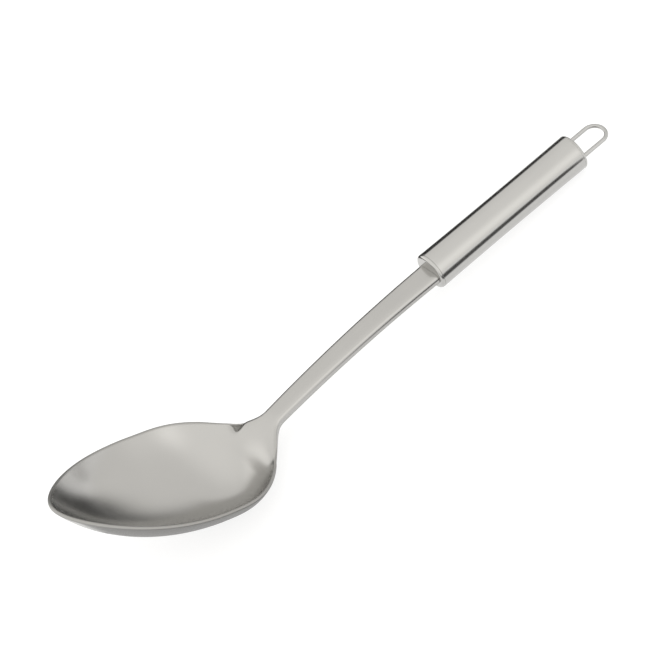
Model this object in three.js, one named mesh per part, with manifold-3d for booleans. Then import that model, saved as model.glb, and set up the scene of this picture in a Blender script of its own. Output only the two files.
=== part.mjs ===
import * as THREE from 'three';
import { mergeVertices } from 'three/addons/utils/BufferGeometryUtils.js';
import Module from 'manifold-3d';

// Solid serving spoon of stainless steel: a blade pressed from one sheet (bowl, neck, shank and tang), a
// round tube handle closed by a cap at each end, and a bent wire loop at the tail to hang it by.
// Millimetres. In the handle's own axes the origin is the centre of the handle's front face, X runs from
// the bowl to the tail and Z points to the upper side. The finished spoon lies on its belly and its tail,
// Z up.

// Gap kept between pieces that fit into or seat on each other
const fitClearance = 0.3;

// Sheet that the blade is pressed from
const sheetThickness = 1.8;

// Bowl
const bowlWidth = 76;
const bowlDepth = 22;
const bowlFrontLength = 60; // from the widest line to the tip
const bowlRearLength = 60; // from the widest line to the end of the neck's fillet
const bowlFrontFullness = 3.4; // power that keeps the hollow deep towards the tip
const bowlRearFullness = 3; // power of the neck's fillet in plan
const neckEase = 0.08; // softening of the fillet's end, as a share of the bowl's swell
const heelRun = 3; // powers of the hollow's rise from the widest line to the neck
const heelFade = 7;
const tipTaper = 0.22; // how much narrower than an ellipse the outline gets towards the tip
const rimHeight = 4.9; // rim above the handle's axis, at the widest line
const rimTilt = THREE.MathUtils.degToRad(23.85); // rim's rise towards the tip, at the widest line
const rimCurveRadius = 260; // rim's upward curve along the bowl
const bellyFlatDepth = 0.5; // flat that the bowl rests on

// Shank, a shallow channel with its open side down
const shankLength = 94;
const shankWidthAtNeck = 10.9;
const shankWidthAtHandle = 13.8;
const shankHeight = 4.6;
const shankCrownHeight = 1.8; // crown above the handle's axis, where the shank meets the handle
const shankStraightLength = 8; // stretch next to the handle that isn't bent
const shankBendRadius = 690;
const shankSquareness = 6; // power of the section: 2 is an ellipse, more is squarer
const channelOverrun = 5; // how far past the neck's end the full channel goes on
const flangeRunIn = 26; // stretch beyond that over which the channel turns into the bowl

// Tang, the flat tongue of the shank inside the handle
const tangWidth = 9;
const tangThickness = 1.4;
const tangReach = 12; // past the handle's front face
const tangRoot = 4; // overlap with the shank's web

// Handle
const handleLength = 94; // over both caps
const handleEndDiameter = 18.7;
const handleWaistDiameter = 18.2;
const tubeWall = 0.6;

// Caps
const capThickness = 1.6;
const capEdgeRadius = 1.5;
const capSpigotLength = 4;
const capSkirtWall = 0.6;

// Hanging loop
const loopWireDiameter = 2;
const loopLegSpacing = 13; // between the legs' centrelines
const loopReach = 17.9; // from the tail's end face to the top of the bend's centreline
const loopBendHeight = 5.35; // height of the half ellipse that joins the legs
const loopLegDepth = 5; // past the rear cap's inner face

// Weld beads
const weldSize = 1.2;
const tangWeldLength = 8;

// Fineness of the faceted surfaces
const bladeColumns = 20;
const tipStations = 15;
const neckStations = 20;
const shankStations = 11;
const roundSides = 40;
const tubeStations = 8;
const edgeSteps = 3;
const wireSides = 10;
const loopSteps = 40;

const widestX = -(shankLength + bowlRearLength);
const tipX = widestX - bowlFrontLength;
const neckX = -shankLength;
const channelX = neckX - channelOverrun;
const shankEndX = -fitClearance;
const bowlHalfWidth = bowlWidth / 2;
const bowlSphereRadius = (bowlHalfWidth ** 2 + bowlDepth ** 2) / (2 * bowlDepth);
const tangMiddleZ = shankCrownHeight - sheetThickness / 2;
const handleEndRadius = handleEndDiameter / 2;
const loopWireRadius = loopWireDiameter / 2;

const satinSteel = { color: 0xb9b6af, roughness: 0.34, metalness: 1 };
const polishedSteel = { color: 0xc9c9c8, roughness: 0.12, metalness: 1 };
const weldSteel = { color: 0x8f8d89, roughness: 0.55, metalness: 1 };

const wasm = await Module();
wasm.setup();

// Solid from a closed geometry: corners that coincide are merged, and the triangles that this flattens are
// left out.
function solidFrom(geometry) {
  const bare = geometry.clone();
  bare.deleteAttribute('normal');
  bare.deleteAttribute('uv');
  const merged = mergeVertices(bare);
  const corners = merged.index.array;
  const triangles = [];
  for (let i = 0; i < corners.length; i += 3) {
    const [a, b, c] = corners.slice(i, i + 3);
    if (a !== b && b !== c && c !== a) {
      triangles.push(a, b, c);
    }
  }
  const vertProperties = new Float32Array(merged.attributes.position.array);
  const triVerts = new Uint32Array(triangles);
  return new wasm.Manifold(new wasm.Mesh({ numProp: 3, vertProperties, triVerts }));
}

function geometryFrom(solid) {
  const mesh = solid.getMesh();
  const geometry = new THREE.BufferGeometry();
  geometry.setAttribute('position', new THREE.BufferAttribute(mesh.vertProperties, 3));
  geometry.setIndex(new THREE.BufferAttribute(mesh.triVerts, 1));
  geometry.computeVertexNormals();
  return geometry;
}

function namedMesh(name, solid, finish) {
  const mesh = new THREE.Mesh(geometryFrom(solid), new THREE.MeshStandardMaterial(finish));
  mesh.name = name;
  return mesh;
}

// Half-width of the shank, straight from the neck to the handle and carried on under the bowl.
function shankHalfWidth(x) {
  return THREE.MathUtils.lerp(shankWidthAtNeck, shankWidthAtHandle, (x - neckX) / shankLength) / 2;
}

// From 0 at the bowl's widest line to 1 at the end of the neck's fillet.
function neckRun(x) {
  return THREE.MathUtils.clamp((x - widestX) / bowlRearLength, 0, 1);
}

// From 1 at the bowl's widest line down to 0 at the end of the neck's fillet.
function neckSwell(x) {
  const swell = (1 - neckRun(x) ** bowlRearFullness) ** bowlRearFullness;
  return swell ** 3 / (swell ** 2 + neckEase ** 2);
}

// From 0 at the bowl's widest line to 1 at the tip.
function tipRun(x) {
  return THREE.MathUtils.clamp((widestX - x) / bowlFrontLength, 0, 1);
}

// Half-width of the blade's outline: a tapered half ellipse in front, an S-curve into the shank behind.
function outlineHalfWidth(x) {
  if (x < widestX) {
    const run = tipRun(x);
    return bowlHalfWidth * Math.sqrt(1 - run ** 2) * (1 - tipTaper * run ** 3);
  }
  return shankHalfWidth(x) + (bowlHalfWidth - shankHalfWidth(widestX)) * neckSwell(x);
}

// Height of the bowl's rim, which falls from the tip to the neck with a slight upward curve.
function rimLine(x) {
  const along = x - widestX;
  return rimHeight - Math.tan(rimTilt) * along + along ** 2 / (2 * rimCurveRadius);
}

// Height of the shank's crown: straight next to the handle, then gently bent down towards the bowl.
function crownLine(x) {
  const bend = Math.min(x + shankStraightLength, 0);
  return shankCrownHeight - bend ** 2 / (2 * shankBendRadius);
}

// Upper surface of the bowl at station x, for a share of the half-width from -1 to 1: a spherical dish that
// is stretched to the outline, with its depth fading towards the tip and the neck.
function bowlPoint(x, share) {
  const hollow = x < widestX ? 1 - tipRun(x) ** bowlFrontFullness : (1 - neckRun(x) ** heelRun) ** heelFade;
  const reach = 1 - hollow * (1 - share ** 2);
  const rimLevel = bowlSphereRadius - bowlDepth;
  const depth = Math.sqrt(bowlSphereRadius ** 2 - bowlHalfWidth ** 2 * reach) - rimLevel;
  return new THREE.Vector3(x, share * outlineHalfWidth(x), rimLine(x) - depth);
}

// The same point moved down by the sheet's thickness, square to the surface. All columns meet at the tip.
function bowlUnderPoint(x, share) {
  const step = 0.01;
  const column = x > tipX ? share : 0;
  const station = Math.max(x, tipX + 2 * step);
  const along = bowlPoint(station + step, column).sub(bowlPoint(station - step, column));
  const across = bowlPoint(station, column + step).sub(bowlPoint(station, column - step));
  const normal = along.cross(across).normalize();
  return bowlPoint(x, share).addScaledVector(normal, -sheetThickness);
}

// Shank's channel section, a half superellipse, drawn in by an inset for its inner side.
function channelPoint(x, turn, inset) {
  const sine = Math.sin(turn);
  const cosine = Math.cos(turn);
  const powers = Math.abs(sine) ** shankSquareness + Math.abs(cosine) ** shankSquareness;
  const size = powers ** (1 / shankSquareness);
  const side = (sine / size) * (outlineHalfWidth(x) - inset);
  const drop = (1 - cosine / size) * (shankHeight - inset);
  return new THREE.Vector3(x, side, crownLine(x) - inset - drop);
}

// Closed section of the blade at station x: across the upper side, then back along the underside.
function bladeSection(x) {
  const channelShare = THREE.MathUtils.smoothstep(x, channelX - flangeRunIn, channelX);
  const upper = [];
  const under = [];
  for (let column = 0; column <= bladeColumns; column++) {
    const turn = (column / bladeColumns - 0.5) * Math.PI;
    const share = Math.sin(turn);
    upper.push(bowlPoint(x, share).lerp(channelPoint(x, turn, 0), channelShare));
    under.push(bowlUnderPoint(x, share).lerp(channelPoint(x, turn, sheetThickness), channelShare));
  }
  return { upper, under };
}

// Closed skin through the blade's sections, ended by a last section that is pinched to the sheet's middle.
function bladeSkin() {
  const stations = [];
  for (let i = 0; i < tipStations; i++) {
    stations.push(widestX - bowlFrontLength * Math.cos((i / tipStations) * (Math.PI / 2)));
  }
  for (let i = 0; i < neckStations; i++) {
    stations.push(widestX + (i / neckStations) * bowlRearLength);
  }
  for (let i = 0; i <= shankStations; i++) {
    stations.push(THREE.MathUtils.lerp(neckX, shankEndX, i / shankStations));
  }
  const sections = stations.map(bladeSection);
  const end = sections.at(-1);
  const middle = end.upper.map((point, column) => point.clone().lerp(end.under[column], 0.5));
  sections.push({ upper: middle, under: middle });

  const loops = sections.map(({ upper, under }) => [...upper, ...under.toReversed()]);
  const loopSize = loops[0].length;
  const triangles = [];
  for (let i = 0; i + 1 < loops.length; i++) {
    for (let j = 0; j < loopSize; j++) {
      const here = i * loopSize + j;
      const beside = i * loopSize + ((j + 1) % loopSize);
      triangles.push(here, here + loopSize, beside + loopSize);
      triangles.push(here, beside + loopSize, beside);
    }
  }
  const geometry = new THREE.BufferGeometry();
  geometry.setFromPoints(loops.flat());
  geometry.setIndex(triangles);
  return geometry;
}

function bladeSolid() {
  const tang = new THREE.BoxGeometry(tangRoot + tangReach, tangWidth, tangThickness);
  tang.translate((tangReach - tangRoot) / 2, 0, tangMiddleZ);
  return solidFrom(bladeSkin()).add(solidFrom(tang));
}

// Handle's outer radius, drawn in along a shallow arc from both ends to the waist.
function handleRadius(x) {
  const fromMiddle = (2 * x) / handleLength - 1;
  return THREE.MathUtils.lerp(handleWaistDiameter, handleEndDiameter, fromMiddle ** 2) / 2;
}

// Solid turned about the X axis from a profile of [x, radius] pairs.
function turnedSolid(profile, sides) {
  const points = profile.map(([x, radius]) => new THREE.Vector2(radius, x));
  return solidFrom(new THREE.LatheGeometry(points, sides).rotateZ(-Math.PI / 2));
}

function tubeSolid() {
  const startX = capThickness + fitClearance;
  const outside = [];
  for (let i = 0; i <= tubeStations; i++) {
    const x = THREE.MathUtils.lerp(startX, handleLength - startX, i / tubeStations);
    outside.push([x, handleRadius(x)]);
  }
  const bore = outside.map(([x, radius]) => [x, radius - tubeWall]).toReversed();
  return turnedSolid([...outside, ...bore, outside[0]], roundSides);
}

const capEndX = capThickness + capSpigotLength;
const capSpigotRadius = handleRadius(capEndX) - tubeWall - fitClearance;
const capSkirtRadius = capSpigotRadius - capSkirtWall;

// Cup with a full-width face, a rounded outer edge and a hollow spigot that fits the tube's bore.
function capSolid() {
  const profile = [[0, 0]];
  for (let i = 0; i <= edgeSteps; i++) {
    const turn = (i / edgeSteps) * (Math.PI / 2);
    const x = capEdgeRadius * (1 - Math.cos(turn));
    profile.push([x, handleEndRadius - capEdgeRadius * (1 - Math.sin(turn))]);
  }
  profile.push([capThickness, handleEndRadius], [capThickness, capSpigotRadius]);
  profile.push([capEndX, capSpigotRadius], [capEndX, capSkirtRadius]);
  profile.push([capThickness, capSkirtRadius], [capThickness, 0]);
  return turnedSolid(profile, roundSides);
}

// Rod along X that reaches through a whole cap, used to cut its holes.
function throughCap(geometry) {
  return solidFrom(geometry.translate(capEndX / 2, 0, 0));
}

function frontCapSolid() {
  const slotWidth = tangWidth + 2 * fitClearance;
  const slotHeight = tangThickness + 2 * fitClearance;
  const slot = new THREE.BoxGeometry(2 * capEndX, slotWidth, slotHeight).translate(0, 0, tangMiddleZ);
  return capSolid().subtract(throughCap(slot));
}

function rearCapSolid() {
  const holeRadius = loopWireRadius + fitClearance;
  let cap = capSolid();
  for (const side of [-1, 1]) {
    const hole = new THREE.CylinderGeometry(holeRadius, holeRadius, 2 * capEndX, 2 * wireSides);
    hole.rotateZ(Math.PI / 2).translate(0, (side * loopLegSpacing) / 2, 0);
    cap = cap.subtract(throughCap(hole));
  }
  return cap;
}

// Centreline of the hanging loop: a leg out of the tail, a half ellipse across, and the other leg back in.
class LoopCentreline extends THREE.Curve {
  getPoint(along, target = new THREE.Vector3()) {
    const inner = handleLength - capThickness - loopLegDepth;
    const bendStart = handleLength + loopReach - loopBendHeight;
    const halfSpacing = loopLegSpacing / 2;
    if (along < 1 / 3) {
      return target.set(THREE.MathUtils.lerp(inner, bendStart, 3 * along), halfSpacing, 0);
    }
    if (along > 2 / 3) {
      return target.set(THREE.MathUtils.lerp(inner, bendStart, 3 * (1 - along)), -halfSpacing, 0);
    }
    const turn = (3 * along - 1) * Math.PI;
    return target.set(bendStart + loopBendHeight * Math.sin(turn), halfSpacing * Math.cos(turn), 0);
  }
}

function loopSolid() {
  const wire = new THREE.Shape().absarc(0, 0, loopWireRadius, 0, 2 * Math.PI);
  const settings = { curveSegments: wireSides / 2, steps: loopSteps, extrudePath: new LoopCentreline() };
  return solidFrom(new THREE.ExtrudeGeometry(wire, settings));
}

// Bead along the upper face of the tang, a quarter round in the corner with the front cap's inner face.
function tangWeldSolid() {
  const section = new THREE.Shape().moveTo(0, 0).lineTo(weldSize, 0).absarc(0, 0, weldSize, 0, Math.PI / 2);
  const bead = new THREE.ExtrudeGeometry(section, { depth: tangWeldLength, bevelEnabled: false });
  bead.translate(0, 0, -tangWeldLength / 2).rotateX(Math.PI / 2);
  bead.translate(capThickness + fitClearance, 0, tangThickness / 2 + fitClearance);
  return solidFrom(bead);
}

// Bead round one leg of the loop, against the rear cap's inner face and trimmed to fit inside its skirt.
function loopWeldSolid(side) {
  const beadRadius = loopWireRadius + fitClearance;
  const startX = capThickness + fitClearance;
  const profile = [[startX, beadRadius]];
  for (let i = 0; i <= edgeSteps; i++) {
    const turn = (i / edgeSteps) * (Math.PI / 2);
    profile.push([startX + weldSize * Math.sin(turn), beadRadius + weldSize * Math.cos(turn)]);
  }
  profile.push(profile[0]);
  const bead = turnedSolid(profile, 2 * wireSides).translate([0, (side * loopLegSpacing) / 2, 0]);
  const roomRadius = capSkirtRadius - fitClearance;
  const room = new THREE.CylinderGeometry(roomRadius, roomRadius, 2 * capEndX, roundSides);
  return bead.intersect(throughCap(room.rotateZ(Math.PI / 2)));
}

const blade = bladeSolid();
const handleTube = namedMesh('handle_tube', tubeSolid(), polishedSteel);
const frontCap = namedMesh('front_cap', frontCapSolid(), polishedSteel);
const rearCap = namedMesh('rear_cap', rearCapSolid(), polishedSteel);
const hangingLoop = namedMesh('hanging_loop', loopSolid(), polishedSteel);

const tangWelds = new THREE.Group();
tangWelds.position.z = tangMiddleZ;
const upperTangWeld = namedMesh('tang_weld_upper', tangWeldSolid(), weldSteel);
const lowerTangWeld = namedMesh('tang_weld_lower', tangWeldSolid(), weldSteel);
lowerTangWeld.rotation.x = Math.PI;
tangWelds.add(upperTangWeld, lowerTangWeld);

// The tail is built like the front and turned to face the other way.
const tail = new THREE.Group();
tail.position.x = handleLength;
tail.rotation.z = Math.PI;
const leftLoopWeld = namedMesh('loop_weld_left', loopWeldSolid(-1), weldSteel);
const rightLoopWeld = namedMesh('loop_weld_right', loopWeldSolid(1), weldSteel);
tail.add(rearCap, leftLoopWeld, rightLoopWeld);

const assembly = new THREE.Group();
assembly.add(handleTube, frontCap, hangingLoop, tangWelds, tail);
assembly.updateMatrixWorld(true);

// Lowest point of a geometry once the handle is tilted tail down by an angle.
function lowestPoint(geometry, tilt) {
  const tilted = geometry.clone().rotateY(tilt);
  tilted.computeBoundingBox();
  return tilted.boundingBox.min.z;
}

// Tilt at which the tail touches the same level as the flat on the bowl's belly.
const bladeShape = geometryFrom(blade);
const rearCapShape = rearCap.geometry.clone().applyMatrix4(rearCap.matrixWorld);
let tiltLow = -Math.PI / 6;
let tiltHigh = Math.PI / 6;
while (tiltHigh - tiltLow > 1e-6) {
  const tilt = (tiltLow + tiltHigh) / 2;
  const bellyAboveTail = lowestPoint(bladeShape, tilt) + bellyFlatDepth - lowestPoint(rearCapShape, tilt);
  if (bellyAboveTail > 0) {
    tiltHigh = tilt;
  } else {
    tiltLow = tilt;
  }
}
assembly.rotation.y = tiltHigh;
assembly.position.z = -lowestPoint(rearCapShape, tiltHigh);
assembly.updateMatrixWorld(true);

// Everything of the blade below the resting level is ground off, which leaves the flat on the belly.
const ground = new THREE.BoxGeometry(4 * bowlFrontLength, 2 * bowlWidth, bowlDepth);
ground.translate(widestX, 0, -bowlDepth / 2).applyMatrix4(assembly.matrixWorld.clone().invert());
assembly.add(namedMesh('spoon_blade', blade.subtract(solidFrom(ground)), satinSteel));

// The origin is under the middle of the whole spoon.
const reach = new THREE.Box3().setFromObject(assembly, true);
assembly.position.x = -(reach.min.x + reach.max.x) / 2;

const spoon = new THREE.Group();
spoon.add(assembly);

export default spoon;
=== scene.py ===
import bmesh
import bpy
import numpy as np
from mathutils import Matrix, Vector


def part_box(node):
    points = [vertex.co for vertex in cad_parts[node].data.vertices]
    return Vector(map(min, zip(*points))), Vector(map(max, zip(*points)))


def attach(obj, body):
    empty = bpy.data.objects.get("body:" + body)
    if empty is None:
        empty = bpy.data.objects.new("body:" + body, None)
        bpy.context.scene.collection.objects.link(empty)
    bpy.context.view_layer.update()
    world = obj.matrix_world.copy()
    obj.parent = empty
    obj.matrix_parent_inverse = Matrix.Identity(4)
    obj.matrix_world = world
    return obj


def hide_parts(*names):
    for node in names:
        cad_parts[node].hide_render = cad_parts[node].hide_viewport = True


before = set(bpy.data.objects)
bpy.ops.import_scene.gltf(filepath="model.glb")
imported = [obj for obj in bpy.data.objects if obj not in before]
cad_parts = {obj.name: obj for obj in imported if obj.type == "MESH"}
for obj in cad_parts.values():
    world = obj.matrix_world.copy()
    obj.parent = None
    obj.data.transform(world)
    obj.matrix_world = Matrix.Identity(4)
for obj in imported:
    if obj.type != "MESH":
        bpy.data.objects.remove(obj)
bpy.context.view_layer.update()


# Camera: a long lens about two metres from the spoon, at the photograph's viewing angle.
# It looks down from the side at -Y and is turned about its own axis,
# so that the spoon lies along the picture's diagonal.
CAMERA_AZIMUTH = np.radians(-109.857)
CAMERA_ELEVATION = np.radians(44.673)
CAMERA_ROLL = np.radians(-28.111)
CAMERA_DISTANCE = 2.0
CAMERA_TARGET = np.array([-0.00049, 0.01705, 0.01357])
CAMERA_LENS_MM = 234.37

towards_camera = np.array([
    np.cos(CAMERA_ELEVATION) * np.cos(CAMERA_AZIMUTH),
    np.cos(CAMERA_ELEVATION) * np.sin(CAMERA_AZIMUTH),
    np.sin(CAMERA_ELEVATION),
])
level_right = np.array([-np.sin(CAMERA_AZIMUTH), np.cos(CAMERA_AZIMUTH), 0.0])
level_up = np.cross(towards_camera, level_right)
picture_right = np.cos(CAMERA_ROLL) * level_right + np.sin(CAMERA_ROLL) * level_up
picture_up = np.cross(towards_camera, picture_right)

camera_data = bpy.data.cameras.new("camera")
camera_data.lens = CAMERA_LENS_MM
camera_data.sensor_width = 36.0
camera_data.clip_start = 0.05
camera = bpy.data.objects.new("camera", camera_data)
camera_turn = Matrix(np.column_stack([picture_right, picture_up, towards_camera]).tolist()).to_4x4()
camera_place = Matrix.Translation((CAMERA_TARGET + CAMERA_DISTANCE * towards_camera).tolist())
camera.matrix_world = camera_place @ camera_turn
bpy.context.scene.collection.objects.link(camera)
bpy.context.scene.camera = camera
bpy.context.scene.view_settings.view_transform = "Standard"


# Studio: a white table in a pale light tent with three brighter parts and an opening on the far side.
# Dark cloths lie on the table around the spoon, and a half-dark sheet under the bowl is painted shadow.
# Only the steel's reflections show them, as soft dark bands.
class Field:
    """A value or colour that nodes work out: arithmetic on it adds Math nodes to its tree."""

    def __init__(self, tree, socket):
        self.tree = tree
        self.socket = socket

    def math(self, operation, *values):
        return node(self.tree, "ShaderNodeMath", {"operation": operation}, dict(enumerate(values)))

    def __add__(self, other):
        return self.math("ADD", self, other)

    def __sub__(self, other):
        return self.math("SUBTRACT", self, other)

    def __rsub__(self, other):
        return self.math("SUBTRACT", other, self)

    def __mul__(self, other):
        return self.math("MULTIPLY", self, other)

    __radd__ = __add__
    __rmul__ = __mul__

    def between(self, low, high):
        """Smooth step from 0 where the value is low to 1 where it is high."""
        settings = {"interpolation_type": "SMOOTHSTEP"}
        inputs = {"Value": self, "From Min": low, "From Max": high}
        return node(self.tree, "ShaderNodeMapRange", settings, inputs)


def node(tree, kind, settings, inputs, output=0):
    """Adds a node: settings first, then each input as a plain value or a link. Returns one output."""
    made = tree.nodes.new(kind)
    for name, value in settings.items():
        setattr(made, name, value)
    for key, value in inputs.items():
        if isinstance(value, Field):
            tree.links.new(value.socket, made.inputs[key])
        else:
            made.inputs[key].default_value = value
    return Field(tree, made.outputs[output]) if made.outputs else None


def axes_of(vector):
    """The three parts of a vector as fields."""
    return [node(vector.tree, "ShaderNodeSeparateXYZ", {}, {0: vector}, axis) for axis in "XYZ"]


def new_material(name):
    material = bpy.data.materials.new(name)
    material.use_nodes = True
    material.node_tree.nodes.clear()
    return material, material.node_tree


def table_sheet(name, x_span, y_span, height, material):
    """Flat rectangle of the stage, level with the table."""
    (x_low, x_high), (y_low, y_high) = x_span, y_span
    plan = [(x_low, y_low), (x_high, y_low), (x_high, y_high), (x_low, y_high)]
    corners = [(x, y, height) for x, y in plan]
    mesh = bpy.data.meshes.new(name)
    mesh.from_pydata(corners, [], [(0, 1, 2, 3)])
    mesh.materials.append(material)
    sheet = bpy.data.objects.new(name, mesh)
    bpy.context.scene.collection.objects.link(sheet)
    return sheet


WHITE = (1.0, 1.0, 1.0, 1.0)
TENT_COLOUR = (1.0, 0.988, 0.96, 1.0)
TENT_LEVEL = 1.07
GLOW_LEVEL = 0.40
GLOW_DIRECTION = (0.22, -0.87, 0.44)
BACK_GLOW_LEVEL = 0.36
BACK_GLOW_DIRECTION = (-0.52, 0.84, 0.17)
SIDE_GLOW_LEVEL = 0.21
SIDE_GLOW_DIRECTION = (-0.66, -0.11, 0.74)
OPENING_DIRECTION = (0.616, 0.788, 0.0)
OPENING_DARKNESS = 0.97
CORNER_DIRECTION = (0.276, 0.961, 0.0)
CORNER_DARKNESS = 0.95
FLOOR_COLOUR = (0.35, 0.35, 0.35, 1.0)
FLOOR_LIFT = 0.75
FLOOR_SPAN = (-6.0, 6.0)

world = bpy.data.worlds.new("light_tent")
world.use_nodes = True
bpy.context.scene.world = world
tent_tree = world.node_tree
tent_tree.nodes.clear()
tent_direction = node(tent_tree, "ShaderNodeTexCoord", {}, {}, "Generated")


def facing(side):
    """How far a direction of the tent faces a side: 1 straight at it, 0 across it."""
    inputs = {0: tent_direction, 1: side}
    return node(tent_tree, "ShaderNodeVectorMath", {"operation": "DOT_PRODUCT"}, inputs, "Value")


facing_glow = facing(GLOW_DIRECTION)
glow_share = facing_glow.math("MAXIMUM", facing_glow, 0.0)
tent_height = axes_of(tent_direction)[2]
glow = GLOW_LEVEL * glow_share.math("POWER", glow_share, 10.0)
back_glow = BACK_GLOW_LEVEL * facing(BACK_GLOW_DIRECTION).between(0.86, 1.0)
side_glow = SIDE_GLOW_LEVEL * facing(SIDE_GLOW_DIRECTION).between(0.0, 1.0)
opening = facing(OPENING_DIRECTION).between(0.62, 0.86) * tent_height.between(0.40, -0.06)
corner = facing(CORNER_DIRECTION).between(0.88, 0.96) * tent_height.between(0.44, 0.24)
tent_level = TENT_LEVEL + glow + back_glow + side_glow
tent_level = tent_level * (1 - OPENING_DARKNESS * opening) * (1 - CORNER_DARKNESS * corner)
tent_light = node(tent_tree, "ShaderNodeBackground", {}, {"Color": TENT_COLOUR, "Strength": tent_level})
node(tent_tree, "ShaderNodeOutputWorld", {}, {"Surface": tent_light})

floor_material, floor_tree = new_material("white_table")
camera_ray = node(floor_tree, "ShaderNodeLightPath", {}, {}, "Is Camera Ray")
glossy_ray = node(floor_tree, "ShaderNodeLightPath", {}, {}, "Is Glossy Ray")
through_ray = node(floor_tree, "ShaderNodeLightPath", {}, {}, "Is Transmission Ray")
lift_level = FLOOR_LIFT * (camera_ray + glossy_ray + through_ray)
floor_lift = node(floor_tree, "ShaderNodeEmission", {}, {"Color": WHITE, "Strength": lift_level})
floor_paper = node(floor_tree, "ShaderNodeBsdfDiffuse", {}, {"Color": FLOOR_COLOUR})
floor_shader = node(floor_tree, "ShaderNodeAddShader", {}, {0: floor_paper, 1: floor_lift})
node(floor_tree, "ShaderNodeOutputMaterial", {}, {"Surface": floor_shader})
table_sheet("floor", FLOOR_SPAN, FLOOR_SPAN, 0.0, floor_material)


def cloth(name, x_span, y_span, height, cover):
    """Black cloth that only reflections show. Cover gives its share of the table at a place's X and Y."""
    material, tree = new_material(name)
    x, y, _ = axes_of(node(tree, "ShaderNodeTexCoord", {}, {}, "Object"))
    gap = node(tree, "ShaderNodeBsdfTransparent", {}, {"Color": WHITE})
    black = node(tree, "ShaderNodeBsdfDiffuse", {}, {"Color": (0.01, 0.01, 0.01, 1.0)})
    shader = node(tree, "ShaderNodeMixShader", {}, {0: cover(x, y), 1: gap, 2: black})
    node(tree, "ShaderNodeOutputMaterial", {}, {"Surface": shader})
    sheet = table_sheet(name, x_span, y_span, height, material)
    sheet.visible_camera = False
    sheet.visible_diffuse = False
    sheet.visible_shadow = False


def far_cover(x, y):
    """A fan on the far side, around a point under the bowl's tip, and denser next to the bowl."""
    angle = x.math("ARCTAN2", y - 0.02, x + 0.15)
    share = 0.97 - 0.12 * x.between(-0.03, 0.10)
    return share * angle.between(0.07, 0.22) * angle.between(1.9, 1.5)


def tail_cover(x, y):
    """A patch on the far side of the handle."""
    return 0.9 * y.between(0.045, 0.08) * x.between(0.0, 0.05) * x.between(0.24, 0.18)


def near_cover(x, y):
    """A band beside the handle, fading outwards and towards the bowl. Only pieces nearby reflect it."""
    across = y.between(-0.024, -0.031) * y.between(-0.11, -0.055)
    nearby = node(x.tree, "ShaderNodeLightPath", {}, {}, "Ray Length").between(0.18, 0.10)
    return 0.92 * nearby * across * x.between(-0.05, 0.06) * x.between(0.163, 0.145)


def bowl_shadow_cover(x, y):
    """Painted shadow: a half-dark sheet under the bowl that the belly reflects in place of the table's
    shade there.
    """
    return 0.5 * x.between(-0.04, -0.07) * y.between(0.03, 0.01)


cloth("far_cloth", (-0.2, 3.0), (0.0, 3.0), 0.0003, far_cover)
cloth("tail_cloth", (0.0, 0.3), (0.03, 3.0), 0.0004, tail_cover)
cloth("near_cloth", (-0.06, 0.18), (-0.12, -0.02), 0.0002, near_cover)
# Painted shadow under the bowl, seen only in the belly's reflection.
cloth("bowl_painted_shadow", (-0.22, -0.04), (-0.2, 0.03), 0.0001, bowl_shadow_cover)


# Blade: bowl, neck, shank and tang, pressed from one sheet of stainless steel with a satin brushed finish.
# The sheet's edge is rounded and rougher, and its darker colour is painted shade for the dark floor it
# reflects. The shank is a shallow channel that runs out into the bowl, with a small hollow at its end on
# the shoulder at +Y. Its tang goes into the handle and is welded there.
HANDLE_LENGTH = 0.094
HANDLE_END_DIAMETER = 0.0187
HANDLE_WAIST_DIAMETER = 0.0182
CAP_THICKNESS = 0.0016
FIT_CLEARANCE = 0.0003

SHEET = 0.0018
BOWL_WIDTH = 0.076
BOWL_DEPTH = 0.022
BOWL_FRONT = 0.060
BOWL_REAR = 0.060
FRONT_FULLNESS = 3.4
REAR_FULLNESS = 3.0
NECK_EASE = 0.08
TIP_TAPER = 0.22
RIM_HEIGHT = 0.0049
RIM_SLOPE = np.tan(np.radians(23.85))
RIM_CURVE_RADIUS = 0.260
HEEL_RUN = 3.0
HEEL_FADE = 7.0
WIDEST_EASE = 0.008
SHANK_LENGTH = 0.094
SHANK_WIDTH_AT_NECK = 0.0109
SHANK_WIDTH_AT_HANDLE = 0.0138
SHANK_HEIGHT = 0.0046
SHANK_CROWN = 0.0018
SHANK_STRAIGHT = 0.008
SHANK_BEND_RADIUS = 0.690
SHANK_SQUARENESS = 6.0
FLANGE_RUN_IN = 0.026
FLANGE_START = -0.099
RIM_ROUNDING = 0.0009
TANG_SIZE = np.array([0.009, 0.0014])
TANG_SPAN = (-0.004, 0.012)
SHANK_END = -0.00005
FOLD_HOLLOW = 0.0031
FOLD_THINNING = 0.0013
FOLD_PLACE = (-0.1131, 0.0146)
FOLD_SPREAD = (0.0024, 0.0021)
FOLD_MARGIN = 0.0014

WIDEST_X = -(SHANK_LENGTH + BOWL_REAR)
NECK_X = -SHANK_LENGTH
BOWL_HALF_WIDTH = BOWL_WIDTH / 2
BOWL_SPHERE = (BOWL_HALF_WIDTH**2 + BOWL_DEPTH**2) / (2 * BOWL_DEPTH)


def handle_radius(x):
    """Outer radius of the handle: a shallow parabola from the waist at its middle to both ends."""
    from_middle = 2 * x / HANDLE_LENGTH - 1
    return (HANDLE_WAIST_DIAMETER + (HANDLE_END_DIAMETER - HANDLE_WAIST_DIAMETER) * from_middle**2) / 2


tube_low, tube_high = (np.array(corner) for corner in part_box("handle_tube"))
tube_reach = tube_high - tube_low
tube_start = CAP_THICKNESS + FIT_CLEARANCE
tube_length = HANDLE_LENGTH - 2 * tube_start
tube_width = 2 * handle_radius(tube_start)
sine = (tube_length * tube_reach[2] - tube_width * tube_reach[0]) / (tube_length**2 - tube_width**2)
cosine = np.sqrt(1 - sine**2)
handle_front = (tube_low + tube_high) / 2 - HANDLE_LENGTH / 2 * np.array([cosine, 0, -sine])


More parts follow.
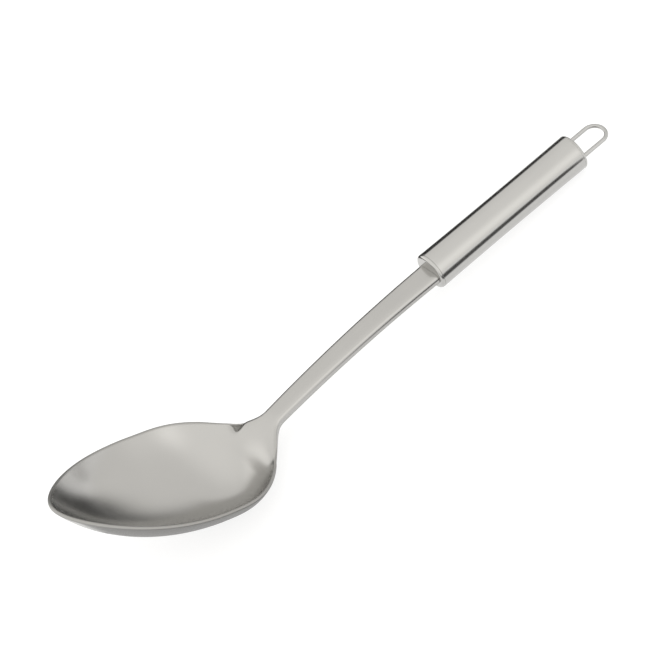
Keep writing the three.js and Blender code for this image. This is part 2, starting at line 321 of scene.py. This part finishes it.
def at_rest(points):
    """Points in the handle's axes, turned by the resting spoon's tilt and moved to the handle's place."""
    x, y, z = np.moveaxis(points, -1, 0)
    turned_points = np.stack([x * cosine + z * sine, y, z * cosine - x * sine], axis=-1)
    return turned_points + handle_front


def smooth_step(value, low, high):
    share = np.clip((value - low) / (high - low), 0, 1)
    return share**2 * (3 - 2 * share)


def shank_half_width(x):
    """Straight line between the widths at the neck and at the handle."""
    share = (x - NECK_X) / SHANK_LENGTH
    return (SHANK_WIDTH_AT_NECK + (SHANK_WIDTH_AT_HANDLE - SHANK_WIDTH_AT_NECK) * share) / 2


def tip_run(x):
    return np.minimum((WIDEST_X - x) / BOWL_FRONT, 1)


def neck_run(x):
    return np.minimum((x - WIDEST_X) / BOWL_REAR, 1)


def neck_swell(x):
    """Cube of one minus the cubed run, with small values eased so that it runs out softly at the neck."""
    swell = (1 - neck_run(x) ** REAR_FULLNESS) ** REAR_FULLNESS
    return swell**3 / (swell**2 + NECK_EASE**2)


def outline_half_width(x):
    """Tapered half ellipse in front of the widest line, eased into the neck's swell and shank behind it."""
    taper = 1 - TIP_TAPER * tip_run(x) ** 3
    front = BOWL_HALF_WIDTH * np.sqrt(np.maximum(1 - tip_run(x) ** 2, 0)) * taper
    rear = shank_half_width(x) + (BOWL_HALF_WIDTH - shank_half_width(WIDEST_X)) * neck_swell(x)
    return front + (rear - front) * smooth_step(x, WIDEST_X - WIDEST_EASE, WIDEST_X + WIDEST_EASE)


def crown_height(x):
    """Top of the shank: straight at the handle, then bent down along a circle's parabola."""
    return SHANK_CROWN - np.minimum(x + SHANK_STRAIGHT, 0) ** 2 / (2 * SHANK_BEND_RADIUS)


def rim_height(x):
    """The rim's line: a slope up to the tip with a slight upward curve."""
    along = x - WIDEST_X
    return RIM_HEIGHT - RIM_SLOPE * along + along**2 / (2 * RIM_CURVE_RADIUS)


def bowl_surface(x, turn):
    """Spherical dish stretched to the outline, with a depth that fades towards the tip and the neck."""
    share = np.sin(turn)
    heel = (1 - np.maximum(neck_run(x), 0) ** HEEL_RUN) ** HEEL_FADE
    hollow = np.where(x < WIDEST_X, 1 - np.maximum(tip_run(x), 0) ** FRONT_FULLNESS, heel)
    reach = 1 - hollow * (1 - share**2)
    depth = np.sqrt(BOWL_SPHERE**2 - BOWL_HALF_WIDTH**2 * reach) - (BOWL_SPHERE - BOWL_DEPTH)
    return np.stack([x, share * outline_half_width(x), rim_height(x) - depth], axis=-1)


def superellipse(turn, squareness):
    """Sine and cosine of a turn, moved out from the unit circle to a superellipse."""
    size = (np.abs(np.sin(turn)) ** squareness + np.abs(np.cos(turn)) ** squareness) ** (1 / squareness)
    return np.sin(turn) / size, np.cos(turn) / size


def channel_surface(x, turn, inset):
    """Half superellipse across the shank, drawn in by an inset. Its ends are the flanges' lower edges."""
    across, rise = superellipse(turn, SHANK_SQUARENESS)
    side = across * (outline_half_width(x) - inset)
    drop = (1 - rise) * (SHANK_HEIGHT - inset)
    return np.stack([x, side, crown_height(x) - inset - drop], axis=-1)


def surface_normals(points):
    """Unit normals of a grid of points: cross products of its two directions. The tip's row is copied."""
    normals = np.cross(np.gradient(points, axis=0), np.gradient(points, axis=1))
    normals[0] = normals[1, points.shape[1] // 2]
    return normals / np.linalg.norm(normals, axis=-1, keepdims=True)


def skin(name, *stacks, edge=None, sharp_angle=np.radians(40)):
    """Mesh through stacks of closed rings, arrays of (stations, points, 3). Rings that shrink to a point or
    line close it. Edge holds each point's share of the sheet's cut edge."""
    vertices = np.concatenate([stack.reshape(-1, 3) for stack in stacks])
    quads = []
    first = 0
    for stack in stacks:
        stations, points = stack.shape[:2]
        here = first + np.arange(stations * points).reshape(stations, points)
        beside = np.roll(here, -1, axis=1)
        quads.append(np.stack([here[:-1], here[1:], beside[1:], beside[:-1]], axis=-1).reshape(-1, 4))
        first += stations * points
    mesh = bpy.data.meshes.new(name)
    mesh.from_pydata(vertices.tolist(), [], np.concatenate(quads).tolist())
    if edge is not None:
        mesh.attributes.new("edge", "FLOAT", "POINT").data.foreach_set("value", edge.ravel())
    merged = bmesh.new()
    merged.from_mesh(mesh)
    bmesh.ops.remove_doubles(merged, verts=merged.verts, dist=1e-7)
    bmesh.ops.dissolve_degenerate(merged, edges=merged.edges, dist=1e-8)
    merged.to_mesh(mesh)
    merged.free()
    mesh.shade_smooth()
    mesh.set_sharp_from_angle(angle=sharp_angle)
    return mesh


def add_piece(name, mesh, material, cad_node):
    mesh.materials.append(material)
    piece = bpy.data.objects.new(name, mesh)
    bpy.context.scene.collection.objects.link(piece)
    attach(piece, "root")
    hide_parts(cad_node)
    return piece


def mix(share, first, second):
    """Colour between two colours."""
    return node(share.tree, "ShaderNodeMix", {"data_type": "RGBA"}, {0: share, 6: first, 7: second}, 2)


def steel(name, colours, roughness, grain, bump, edge_shade_colour=None):
    """Steel with fine lines along the spoon in its roughness and bump, and soft clouds in its tone.
    The sheet's cut edge is rougher, and its darker edge colour is painted shade for the dark floor it
    reflects."""
    material, tree = new_material(name)
    place = node(tree, "ShaderNodeTexCoord", {}, {}, "Object")
    along = node(tree, "ShaderNodeMapping", {}, {"Vector": place, "Scale": grain})
    lines = node(tree, "ShaderNodeTexNoise", {}, {"Vector": along, "Scale": 1.0, "Detail": 3.0})
    clouds = node(tree, "ShaderNodeTexNoise", {}, {"Vector": place, "Scale": 45.0, "Detail": 2.0})
    colour = mix(clouds, *colours)
    level = roughness[0] + (roughness[1] - roughness[0]) * (0.6 * lines + 0.4 * clouds)
    if edge_shade_colour is not None:
        edge = node(tree, "ShaderNodeAttribute", {"attribute_name": "edge"}, {}, "Fac")
        # Painted shade: the darker colour on the cut edge stands for the dark floor it reflects; the added
        # roughness is real.
        colour = mix(edge, colour, edge_shade_colour)
        level = level + 0.2 * edge
    normal = node(tree, "ShaderNodeBump", {}, {"Strength": bump, "Distance": 0.0001, "Height": lines})
    inputs = {"Base Color": colour, "Metallic": 1.0, "Roughness": level, "Normal": normal}
    shader = node(tree, "ShaderNodeBsdfPrincipled", {}, inputs)
    node(tree, "ShaderNodeOutputMaterial", {}, {"Surface": shader})
    return material


tip_turns = np.linspace(0, np.pi / 2, 90, endpoint=False)
stations = np.concatenate([
    WIDEST_X - BOWL_FRONT * np.cos(tip_turns),
    np.linspace(WIDEST_X, NECK_X, 120, endpoint=False),
    np.linspace(NECK_X, SHANK_END, 70),
])
blade_x, blade_turn = np.meshgrid(stations, np.linspace(-np.pi / 2, np.pi / 2, 129), indexing="ij")
bowl_upper = bowl_surface(blade_x, blade_turn)
bowl_normals = surface_normals(bowl_upper)
channel_share = smooth_step(blade_x, FLANGE_START - FLANGE_RUN_IN, FLANGE_START)
bowl_middle = bowl_upper - SHEET / 2 * bowl_normals
channel_middle = channel_surface(blade_x, blade_turn, SHEET / 2)
sheet_middle = bowl_middle + (channel_middle - bowl_middle) * channel_share[..., None]

half_width = outline_half_width(blade_x)
plan_side = np.abs(bowl_upper[..., 1])
plan_slope = np.gradient(half_width**2, stations, axis=0) / 2
plan_distance = (half_width**2 - plan_side**2) / (2 * np.hypot(plan_slope, plan_side) + 1e-9)
bowl_edge = plan_distance / np.maximum(bowl_normals[..., 2], 0.3)
channel_edge = channel_middle[..., 2] - channel_middle[:, :1, 2]
edge_distance = bowl_edge + (channel_edge - bowl_edge) * channel_share

fold_along = (sheet_middle[..., 0] - FOLD_PLACE[0]) / FOLD_SPREAD[0]
fold_across = (sheet_middle[..., 1] - FOLD_PLACE[1]) / FOLD_SPREAD[1]
fold_depth = FOLD_HOLLOW * np.exp(-(fold_along**2 + fold_across**2) / 2)
fold_depth = fold_depth * smooth_step(edge_distance, 0, FOLD_MARGIN)
fold_thinning = np.minimum(fold_depth, FOLD_THINNING)
sheet_middle[..., 2] -= fold_depth - fold_thinning / 2
sheet_normals = surface_normals(sheet_middle)

edge_share = np.clip(edge_distance / RIM_ROUNDING, 0, 1)
half_sheet = (SHEET / 2 * np.sqrt(1 - (1 - edge_share) ** 2) - fold_thinning / 2)[..., None]
upper = sheet_middle + half_sheet * sheet_normals
under = sheet_middle - half_sheet * sheet_normals
blade_rings = np.concatenate([upper, under[:, -2:0:-1]], axis=1)
end_ring = np.concatenate([sheet_middle[-1], sheet_middle[-1, -2:0:-1]])
blade_rings = at_rest(np.concatenate([blade_rings, end_ring[None]]))
blade_rings[..., 2] = np.maximum(blade_rings[..., 2], 0)


def tongue_rings(width, height, span, middle_z, points=32, squareness=8.0):
    """Flat bar along X with a superelliptic section. Rings that shrink to its middle close both ends."""
    across, rise = superellipse(np.linspace(0, 2 * np.pi, points, endpoint=False), squareness)
    section = np.stack([np.zeros(points), width / 2 * across, middle_z + height / 2 * rise], axis=-1)
    middle = np.broadcast_to([0.0, 0.0, middle_z], section.shape)
    shift = [np.array([x, 0.0, 0.0]) for x in span]
    return np.stack([middle + shift[0], section + shift[0], section + shift[1], middle + shift[1]])


tang_rings = at_rest(tongue_rings(*TANG_SIZE, TANG_SPAN, SHANK_CROWN - SHEET / 2))
SATIN_COLOURS = ((0.445, 0.439, 0.426, 1.0), (0.475, 0.469, 0.455, 1.0))
# Darker colour for the sheet's cut edge: painted shade for the dark floor that the rim reflects.
EDGE_SHADE_COLOUR = (0.36, 0.355, 0.343, 1.0)
satin_steel = steel("satin_steel", SATIN_COLOURS, (0.18, 0.26), (60.0, 2500.0, 2500.0), 0.05, EDGE_SHADE_COLOUR)
sheet_edge = 1 - smooth_step(edge_distance, 0.5 * RIM_ROUNDING, 1.5 * RIM_ROUNDING)
sheet_edge = np.concatenate([sheet_edge, sheet_edge[:, -2:0:-1]], axis=1)
blade_edge = np.concatenate([sheet_edge.ravel(), np.zeros(end_ring.shape[0] + tang_rings[..., 0].size)])
blade_mesh = skin("spoon_blade_satin", blade_rings, tang_rings, edge=blade_edge)
add_piece("spoon_blade_satin", blade_mesh, satin_steel, "spoon_blade")


# Handle tube: thin stainless tube, drawn in slightly at its middle and polished bright.
# Its ends are rounded over a little, so a fine line shows where the front cap meets it.
TUBE_WALL = 0.0006
FRONT_JOINT = 0.0001
REAR_JOINT = 0.00003
ROUND_SIDES = 192


def arc(centre, radius, start, stop, steps=8):
    """Points of an arc in the plane of x and radius, between two angles in quarter turns."""
    turn = np.linspace(start, stop, steps) * np.pi / 2
    return np.asarray(centre) + radius * np.stack([np.cos(turn), np.sin(turn)], axis=-1)


def turned(profile, sides=ROUND_SIDES):
    """Rings of a profile of (x, radius) points carried round the handle's axis."""
    turn = np.linspace(0, 2 * np.pi, sides, endpoint=False)
    x = np.repeat(profile[:, :1], sides, axis=1)
    return np.stack([x, profile[:, 1:] * np.sin(turn), profile[:, 1:] * np.cos(turn)], axis=-1)


tube_ends = np.array([CAP_THICKNESS + FRONT_JOINT, HANDLE_LENGTH - CAP_THICKNESS - REAR_JOINT])
tube_x = np.linspace(tube_ends[0] + FRONT_JOINT, tube_ends[1] - REAR_JOINT, 60)
tube_outside = np.stack([tube_x, handle_radius(tube_x)], axis=-1)
tube_bore = np.stack([tube_ends[::-1], handle_radius(tube_ends[::-1]) - TUBE_WALL], axis=-1)
tube_profile = np.concatenate([
    arc(tube_outside[0] - [0, FRONT_JOINT], FRONT_JOINT, 2, 1),
    tube_outside,
    arc(tube_outside[-1] - [0, REAR_JOINT], REAR_JOINT, 1, 0),
    tube_bore,
])
tube_profile = np.concatenate([tube_profile, tube_profile[:1]])
POLISHED_COLOURS = ((0.475, 0.470, 0.457, 1.0), (0.505, 0.500, 0.487, 1.0))
polished_steel = steel("polished_steel", POLISHED_COLOURS, (0.13, 0.20), (30.0, 1800.0, 1800.0), 0.02)
tube_mesh = skin("handle_tube_polished", at_rest(turned(tube_profile)))
add_piece("handle_tube_polished", tube_mesh, polished_steel, "handle_tube")


# Front cap: pressed cup that closes the front of the tube, with a rounded edge and a slot for the tang.
# It is pushed into the tube, welded to the tang inside, and polished together with the tube.
CAP_EDGE = 0.0015
CAP_SPIGOT = 0.004
CAP_SKIRT_WALL = 0.0006
SLOT_SQUARENESS = 12.0

cap_end = CAP_THICKNESS + CAP_SPIGOT
cap_radius = HANDLE_END_DIAMETER / 2
spigot_radius = handle_radius(cap_end) - TUBE_WALL - FIT_CLEARANCE
skirt_radius = spigot_radius - CAP_SKIRT_WALL


def cap_rings(joint):
    """Outside of a cap, from its face's edge round its rim and its skirt to its inner face's edge."""
    return turned(np.concatenate([
        arc((CAP_EDGE, cap_radius - CAP_EDGE), CAP_EDGE, 2, 1, 12),
        arc((CAP_THICKNESS - joint, cap_radius - joint), joint, 1, 0),
        [(CAP_THICKNESS, spigot_radius), (cap_end, spigot_radius)],
        [(cap_end, skirt_radius), (CAP_THICKNESS, skirt_radius)],
    ]))


slot_turn = np.linspace(0, 2 * np.pi, ROUND_SIDES, endpoint=False)
slot_direction = np.stack([np.zeros(ROUND_SIDES), np.sin(slot_turn), np.cos(slot_turn)], axis=-1)
slot_half = (TANG_SIZE + 2 * FIT_CLEARANCE) / 2
slot_powers = np.abs(slot_direction[:, 1:] / slot_half) ** SLOT_SQUARENESS
slot_radius = np.sum(slot_powers, axis=-1, keepdims=True) ** (-1 / SLOT_SQUARENESS)
slot_ring = slot_radius * slot_direction + np.array([0.0, 0.0, SHANK_CROWN - SHEET / 2])
slot_inner = slot_ring + np.array([CAP_THICKNESS, 0.0, 0.0])
front_cap_rings = cap_rings(FRONT_JOINT)
face_share = np.linspace(0, 1, 8)[:-1, None, None]
face_rings = slot_ring + face_share * (front_cap_rings[0] - slot_ring)
front_rings = np.concatenate([face_rings, front_cap_rings, slot_inner[None], slot_ring[None]])
front_mesh = skin("front_cap_polished", at_rest(front_rings))
add_piece("front_cap_polished", front_mesh, polished_steel, "front_cap")


# Rear cap: the same pressed cup, turned round to close the tail, with two holes for the loop's legs.
# It is pushed into the tube, welded to the legs inside, and polished together with the tube.
WIRE_RADIUS = 0.001
LEG_SPACING = 0.013
LEG_HOLE_RADIUS = 0.00105

half_turn = np.linspace(0, np.pi, ROUND_SIDES // 2 + 1)


def half_face(x, radius, side):
    """Outline of one half of the cap's face: the half circle on that side, then back along the middle."""
    across = np.concatenate([side * np.sin(half_turn), np.zeros(half_turn.size - 2)])
    height = np.concatenate([np.cos(half_turn), -np.cos(half_turn[1:-1])])
    return np.stack([np.full(across.size, x), radius * across, radius * height], axis=-1)


def leg_hole(outline, side):
    """Circle round the leg, with each point in the direction of the matching point of the outline."""
    from_leg = outline[:, 1:] - [side * LEG_SPACING / 2, 0.0]
    circle = LEG_HOLE_RADIUS * from_leg / np.linalg.norm(from_leg, axis=-1, keepdims=True)
    return np.concatenate([outline[:, :1], circle + [side * LEG_SPACING / 2, 0.0]], axis=-1)


def face_half(side):
    """One half of the face: its inner side, the hole through it and its outer side."""
    inner = half_face(CAP_THICKNESS, skirt_radius, side)
    outer = half_face(0.0, cap_radius - CAP_EDGE, side)
    inner_hole = leg_hole(outer + [CAP_THICKNESS, 0.0, 0.0], side)
    rings = np.stack([inner, inner_hole, leg_hole(outer, side), outer])
    return rings[:, ::side]


def at_tail(rings):
    """Rings of the front end, turned to face the other way at the tail."""
    return at_rest(rings * [-1.0, -1.0, 1.0] + [HANDLE_LENGTH, 0.0, 0.0])


rear_stacks = [at_tail(rings) for rings in (cap_rings(REAR_JOINT), face_half(1), face_half(-1))]
rear_mesh = skin("rear_cap_polished", *rear_stacks)
add_piece("rear_cap_polished", rear_mesh, polished_steel, "rear_cap")


# Hanging loop: one piece of bright drawn wire, bent to a narrow arch.
# Both legs go through the rear cap and are welded behind it.
LOOP_REACH = 0.0179
LOOP_BEND = 0.00535
LEG_DEPTH = 0.005
WIRE_SIDES = 32

leg_start = HANDLE_LENGTH - CAP_THICKNESS - LEG_DEPTH
bend_start = HANDLE_LENGTH + LOOP_REACH - LOOP_BEND
leg_x = np.linspace(leg_start, bend_start, 30, endpoint=False)
bend_turn = np.linspace(0, np.pi, 120)
wire_x = np.concatenate([leg_x, bend_start + LOOP_BEND * np.sin(bend_turn), leg_x[::-1]])
wire_y = LEG_SPACING / 2 * np.concatenate([np.ones(30), np.cos(bend_turn), -np.ones(30)])
wire_path = np.stack([wire_x, wire_y, np.zeros_like(wire_x)], axis=-1)
wire_tangent = np.gradient(wire_path, axis=0)
wire_tangent /= np.linalg.norm(wire_tangent, axis=-1, keepdims=True)
wire_side = np.cross([0.0, 0.0, 1.0], wire_tangent)
wire_turn = np.linspace(0, 2 * np.pi, WIRE_SIDES, endpoint=False)[:, None]
wire_offset = np.cos(wire_turn) * np.array([0.0, 0.0, 1.0]) + np.sin(wire_turn) * wire_side[:, None]
wire_rings = wire_path[:, None] + WIRE_RADIUS * wire_offset
wire_ends = np.repeat(wire_path[[0, -1], None], WIRE_SIDES, axis=1)
wire_rings = np.concatenate([wire_ends[:1], wire_rings, wire_ends[1:]])
WIRE_COLOURS = ((0.42, 0.418, 0.41, 1.0), (0.54, 0.538, 0.53, 1.0))
wire_steel = steel("wire_steel", WIRE_COLOURS, (0.10, 0.16), (120.0, 1800.0, 1800.0), 0.03)
wire_mesh = skin("hanging_loop_wire", at_rest(wire_rings))
add_piece("hanging_loop_wire", wire_mesh, wire_steel, "hanging_loop")


# Weld beads: dull rippled steel inside the handle, two along the tang and one round each leg of the loop.
# They are the solids of the frame, left as they are.
WELD_COLOURS = ((0.20, 0.19, 0.18, 1.0), (0.32, 0.30, 0.28, 1.0))
weld_steel = steel("weld_steel", WELD_COLOURS, (0.40, 0.65), (900.0, 900.0, 900.0), 0.4)
for weld in ("tang_weld_upper", "tang_weld_lower", "loop_weld_left", "loop_weld_right"):
    weld_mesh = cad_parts[weld].data
    weld_mesh.materials.clear()
    weld_mesh.materials.append(weld_steel)
